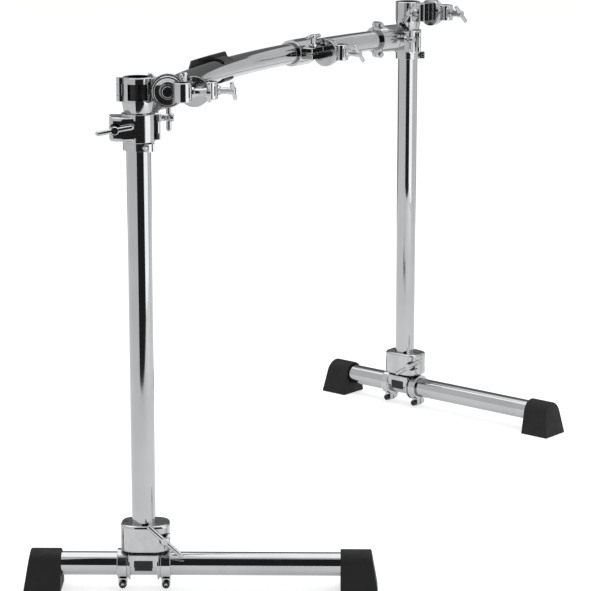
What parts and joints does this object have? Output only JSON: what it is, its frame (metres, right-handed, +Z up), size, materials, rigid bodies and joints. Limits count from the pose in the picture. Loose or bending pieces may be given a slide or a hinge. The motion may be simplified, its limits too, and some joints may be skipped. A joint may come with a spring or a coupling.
{
  "type": "drum rack frame",
  "caption": "Free-standing drum rack with a curved cross bar on posts, swivelling T legs, hinged clamps and rod holders.",
  "frame": {"origin": "on the floor, under the middle of the rack's own box", "axes": "+X along the row from the left post to the right one, +Y towards the audience, +Z up"},
  "size_m": [1.4036, 0.5578, 0.8285],
  "materials": {
    "tube": "bright chrome plate on drawn steel tube",
    "casting": "bright chrome plate on castings",
    "hardware": "bright chrome plate on turned steel",
    "rubber_feet": "matt black moulded rubber",
    "badge": "satin black plastic, left bare"
  },
  "bodies": {
    "frame": {"curved_bar": "tube", "badge_plate": "badge", "left_rack_clamp": "casting", "left_bar_cap": "casting", "right_rack_clamp": "casting", "right_bar_cap": "casting"},
    "left_post": {"left_post": "tube"},
    "left_lock": {"left_memory_lock": "casting", "left_memory_screw": "hardware"},
    "left_leg": {"left_leg_collar": "casting", "left_leg_hinge_pin": "hardware", "left_leg_saddle": "casting", "left_saddle_bolt_long": "hardware", "left_saddle_bolt_short": "hardware"},
    "left_foot_bar": {"left_base_tube": "tube", "left_long_foot": "rubber_feet", "left_short_foot": "rubber_feet"},
    "left_leg_jaw": {"left_leg_jaw": "casting"},
    "left_leg_t_bolt": {"left_leg_t_bolt": "hardware"},
    "left_rack_jaw": {"left_rack_jaw": "casting"},
    "left_rack_t_bolt": {"left_rack_t_bolt": "hardware"},
    "left_bar_t_bolt": {"left_bar_t_bolt": "hardware"},
    "left_post_clamp": {"left_post_clamp_collar": "casting"},
    "left_post_clamp_jaw": {"left_post_clamp_jaw": "casting"},
    "left_post_clamp_t_bolt": {"left_post_clamp_t_bolt": "hardware"},
    "left_post_clamp_holder": {"left_post_clamp_holder": "casting"},
    "left_post_clamp_rod_t_bolt": {"left_post_clamp_rod_t_bolt": "hardware"},
    "left_bar_clamp": {"left_bar_clamp_collar": "casting"},
    "left_bar_clamp_jaw": {"left_bar_clamp_jaw": "casting"},
    "left_bar_clamp_t_bolt": {"left_bar_clamp_t_bolt": "hardware"},
    "left_bar_clamp_holder": {"left_bar_clamp_holder": "casting"},
    "left_bar_clamp_rod_t_bolt": {"left_bar_clamp_rod_t_bolt": "hardware"},
    "right_post": {"right_post": "tube"},
    "right_lock": {"right_memory_lock": "casting", "right_memory_screw": "hardware"},
    "right_leg": {"right_leg_collar": "casting", "right_leg_hinge_pin": "hardware", "right_leg_saddle": "casting", "right_saddle_bolt_long": "hardware", "right_saddle_bolt_short": "hardware"},
    "right_foot_bar": {"right_base_tube": "tube", "right_long_foot": "rubber_feet", "right_short_foot": "rubber_feet"},
    "right_leg_jaw": {"right_leg_jaw": "casting"},
    "right_leg_t_bolt": {"right_leg_t_bolt": "hardware"},
    "right_rack_jaw": {"right_rack_jaw": "casting"},
    "right_rack_t_bolt": {"right_rack_t_bolt": "hardware"},
    "right_bar_t_bolt": {"right_bar_t_bolt": "hardware"},
    "right_post_clamp": {"right_post_clamp_collar": "casting"},
    "right_post_clamp_jaw": {"right_post_clamp_jaw": "casting"},
    "right_post_clamp_t_bolt": {"right_post_clamp_t_bolt": "hardware"},
    "right_post_clamp_holder": {"right_post_clamp_holder": "casting"},
    "right_post_clamp_rod_t_bolt": {"right_post_clamp_rod_t_bolt": "hardware"},
    "right_bar_clamp": {"right_bar_clamp_collar": "casting"},
    "right_bar_clamp_jaw": {"right_bar_clamp_jaw": "casting"},
    "right_bar_clamp_t_bolt": {"right_bar_clamp_t_bolt": "hardware"},
    "right_bar_clamp_holder": {"right_bar_clamp_holder": "casting"},
    "right_bar_clamp_rod_t_bolt": {"right_bar_clamp_rod_t_bolt": "hardware"}
  },
  "joints": [
    {"name": "left_post_slide", "type": "slide", "parent": "frame", "child": "left_post", "axis": [0, 0, 1], "range_m": [0, 0.15]},
    {"name": "right_post_slide", "type": "slide", "parent": "frame", "child": "right_post", "axis": [0, 0, 1], "range_m": [0, 0.15]},
    {"name": "left_lock_slide", "type": "slide", "parent": "left_post", "child": "left_lock", "axis": [0, 0, 1], "range_m": [-0.15, 0]},
    {"name": "right_lock_slide", "type": "slide", "parent": "right_post", "child": "right_lock", "axis": [0, 0, 1], "range_m": [-0.15, 0]},
    {"name": "left_leg_swivel", "type": "hinge", "parent": "left_post", "child": "left_leg", "pos_m": [-0.60107, 0.08622, 0], "axis": [0, 0, 1], "range_deg": [-30, 30]},
    {"name": "right_leg_swivel", "type": "hinge", "parent": "right_post", "child": "right_leg", "pos_m": [0.61293, 0.08622, 0], "axis": [0, 0, 1], "range_deg": [-30, 30]},
    {"name": "left_foot_bar_slide", "type": "slide", "parent": "left_leg", "child": "left_foot_bar", "axis": [0.3697, -0.9291, 0], "range_m": [-0.06, 0.06]},
    {"name": "right_foot_bar_slide", "type": "slide", "parent": "right_leg", "child": "right_foot_bar", "axis": [-0.304, -0.9527, 0], "range_m": [-0.06, 0.06]},
    {"name": "left_leg_jaw_hinge", "type": "hinge", "parent": "left_leg", "child": "left_leg_jaw", "pos_m": [-0.61153, 0.1125, 0], "axis": [0, 0, -1], "range_deg": [0, 2.5]},
    {"name": "right_leg_jaw_hinge", "type": "hinge", "parent": "right_leg", "child": "right_leg_jaw", "pos_m": [0.62153, 0.11317, 0], "axis": [0, 0, -1], "range_deg": [0, 2.5]},
    {"name": "left_leg_t_bolt_turn", "type": "hinge", "parent": "left_leg_jaw", "child": "left_leg_t_bolt", "pos_m": [-0.58813, 0.0537, 0.08879], "axis": [0.9291, 0.3697, 0], "continuous": true},
    {"name": "right_leg_t_bolt_turn", "type": "hinge", "parent": "right_leg_jaw", "child": "right_leg_t_bolt", "pos_m": [0.60229, 0.05288, 0.08879], "axis": [0.9527, -0.304, 0], "continuous": true},
    {"name": "left_rack_jaw_hinge", "type": "hinge", "parent": "frame", "child": "left_rack_jaw", "pos_m": [-0.58932, 0.06048, 0], "axis": [0, 0, 1], "range_deg": [0, 2.5]},
    {"name": "right_rack_jaw_hinge", "type": "hinge", "parent": "frame", "child": "right_rack_jaw", "pos_m": [0.60118, 0.06048, 0], "axis": [0, 0, -1], "range_deg": [0, 2.5]},
    {"name": "left_rack_t_bolt_turn", "type": "hinge", "parent": "left_rack_jaw", "child": "left_rack_t_bolt", "pos_m": [-0.6156, 0.11805, 0.744], "axis": [0.9097, 0.4153, 0], "continuous": true},
    {"name": "right_rack_t_bolt_turn", "type": "hinge", "parent": "right_rack_jaw", "child": "right_rack_t_bolt", "pos_m": [0.62746, 0.11805, 0.744], "axis": [-0.9097, 0.4153, 0], "continuous": true},
    {"name": "left_bar_t_bolt_turn", "type": "hinge", "parent": "frame", "child": "left_bar_t_bolt", "pos_m": [-0.56559, 0.10241, 0.753], "axis": [0.4153, -0.9097, 0], "continuous": true},
    {"name": "right_bar_t_bolt_turn", "type": "hinge", "parent": "frame", "child": "right_bar_t_bolt", "pos_m": [0.57745, 0.10241, 0.753], "axis": [0.4153, 0.9097, 0], "continuous": true},
    {"name": "left_post_clamp_swivel", "type": "hinge", "parent": "left_post", "child": "left_post_clamp", "pos_m": [-0.60107, 0.08622, 0.7945], "axis": [0, 0, -1], "range_deg": [-25, 45]},
    {"name": "right_post_clamp_swivel", "type": "hinge", "parent": "right_post", "child": "right_post_clamp", "pos_m": [0.61293, 0.08622, 0.7945], "axis": [0, 0, 1], "range_deg": [-25, 45]},
    {"name": "left_post_clamp_jaw_hinge", "type": "hinge", "parent": "left_post_clamp", "child": "left_post_clamp_jaw", "pos_m": [-0.61244, 0.11113, 0.7945], "axis": [0, 0, 1], "range_deg": [0, 2.5]},
    {"name": "right_post_clamp_jaw_hinge", "type": "hinge", "parent": "right_post_clamp", "child": "right_post_clamp_jaw", "pos_m": [0.62431, 0.11113, 0.7945], "axis": [0, 0, -1], "range_deg": [0, 2.5]},
    {"name": "left_post_clamp_t_bolt_turn", "type": "hinge", "parent": "left_post_clamp_jaw", "child": "left_post_clamp_t_bolt", "pos_m": [-0.58728, 0.05602, 0.8025], "axis": [-0.9097, -0.4153, 0], "continuous": true},
    {"name": "right_post_clamp_t_bolt_turn", "type": "hinge", "parent": "right_post_clamp_jaw", "child": "right_post_clamp_t_bolt", "pos_m": [0.59915, 0.05602, 0.8025], "axis": [0.9097, -0.4153, 0], "continuous": true},
    {"name": "left_post_clamp_holder_tilt", "type": "hinge", "parent": "left_post_clamp", "child": "left_post_clamp_holder", "pos_m": [-0.60152, 0.03544, 0.8025], "axis": [-0.9097, -0.4153, 0], "range_deg": [-90, 90]},
    {"name": "right_post_clamp_holder_tilt", "type": "hinge", "parent": "right_post_clamp", "child": "right_post_clamp_holder", "pos_m": [0.61339, 0.03544, 0.8025], "axis": [0.9097, -0.4153, 0], "range_deg": [-90, 90]},
    {"name": "left_post_clamp_rod_t_bolt_turn", "type": "hinge", "parent": "left_post_clamp_holder", "child": "left_post_clamp_rod_t_bolt", "pos_m": [-0.59932, -0.00346, 0.8025], "axis": [0.4153, -0.9097, 0], "continuous": true},
    {"name": "right_post_clamp_rod_t_bolt_turn", "type": "hinge", "parent": "right_post_clamp_holder", "child": "right_post_clamp_rod_t_bolt", "pos_m": [0.61118, -0.00346, 0.8025], "axis": [-0.4153, -0.9097, 0], "continuous": true},
    {"name": "left_bar_clamp_swivel", "type": "hinge", "parent": "frame", "child": "left_bar_clamp", "pos_m": [-0.29907, 0.18604, 0.753], "axis": [0.978, 0.2087, 0], "range_deg": [-25, 25]},
    {"name": "right_bar_clamp_swivel", "type": "hinge", "parent": "frame", "child": "right_bar_clamp", "pos_m": [0.29393, 0.18956, 0.753], "axis": [0.9804, -0.197, 0], "range_deg": [-25, 25]},
    {"name": "left_bar_clamp_jaw_hinge", "type": "hinge", "parent": "left_bar_clamp", "child": "left_bar_clamp_jaw", "pos_m": [-0.30488, 0.21329, 0.753], "axis": [-0.978, -0.2087, 0], "range_deg": [0, 2.5]},
    {"name": "right_bar_clamp_jaw_hinge", "type": "hinge", "parent": "right_bar_clamp", "child": "right_bar_clamp_jaw", "pos_m": [0.29942, 0.21688, 0.753], "axis": [-0.9804, 0.197, 0], "range_deg": [0, 2.5]},
    {"name": "left_bar_clamp_t_bolt_turn", "type": "hinge", "parent": "left_bar_clamp_jaw", "child": "left_bar_clamp_t_bolt", "pos_m": [-0.29204, 0.15312, 0.753], "axis": [0, 0, 1], "continuous": true},
    {"name": "right_bar_clamp_t_bolt_turn", "type": "hinge", "parent": "right_bar_clamp_jaw", "child": "right_bar_clamp_t_bolt", "pos_m": [0.2873, 0.15656, 0.753], "axis": [0, 0, 1], "continuous": true},
    {"name": "left_bar_clamp_holder_tilt", "type": "hinge", "parent": "left_bar_clamp", "child": "left_bar_clamp_holder", "pos_m": [-0.26258, 0.14679, 0.753], "axis": [0.978, 0.2087, 0], "range_deg": [-90, 90]},
    {"name": "right_bar_clamp_holder_tilt", "type": "hinge", "parent": "right_bar_clamp", "child": "right_bar_clamp_holder", "pos_m": [0.31183, 0.13905, 0.753], "axis": [0.9804, -0.197, 0], "range_deg": [-90, 90]},
    {"name": "left_bar_clamp_rod_t_bolt_turn", "type": "hinge", "parent": "left_bar_clamp_holder", "child": "left_bar_clamp_rod_t_bolt", "pos_m": [-0.24116, 0.11424, 0.753], "axis": [0.2087, -0.978, 0], "continuous": true},
    {"name": "right_bar_clamp_rod_t_bolt_turn", "type": "hinge", "parent": "right_bar_clamp_holder", "child": "right_bar_clamp_rod_t_bolt", "pos_m": [0.31855, 0.10067, 0.753], "axis": [-0.197, -0.9804, 0], "continuous": true}
  ],
  "couplings": [
    {"joint": "right_post_slide", "follows": "left_post_slide", "ratio": 1},
    {"joint": "left_lock_slide", "follows": "left_post_slide", "ratio": -1},
    {"joint": "right_lock_slide", "follows": "left_post_slide", "ratio": -1}
  ]
}
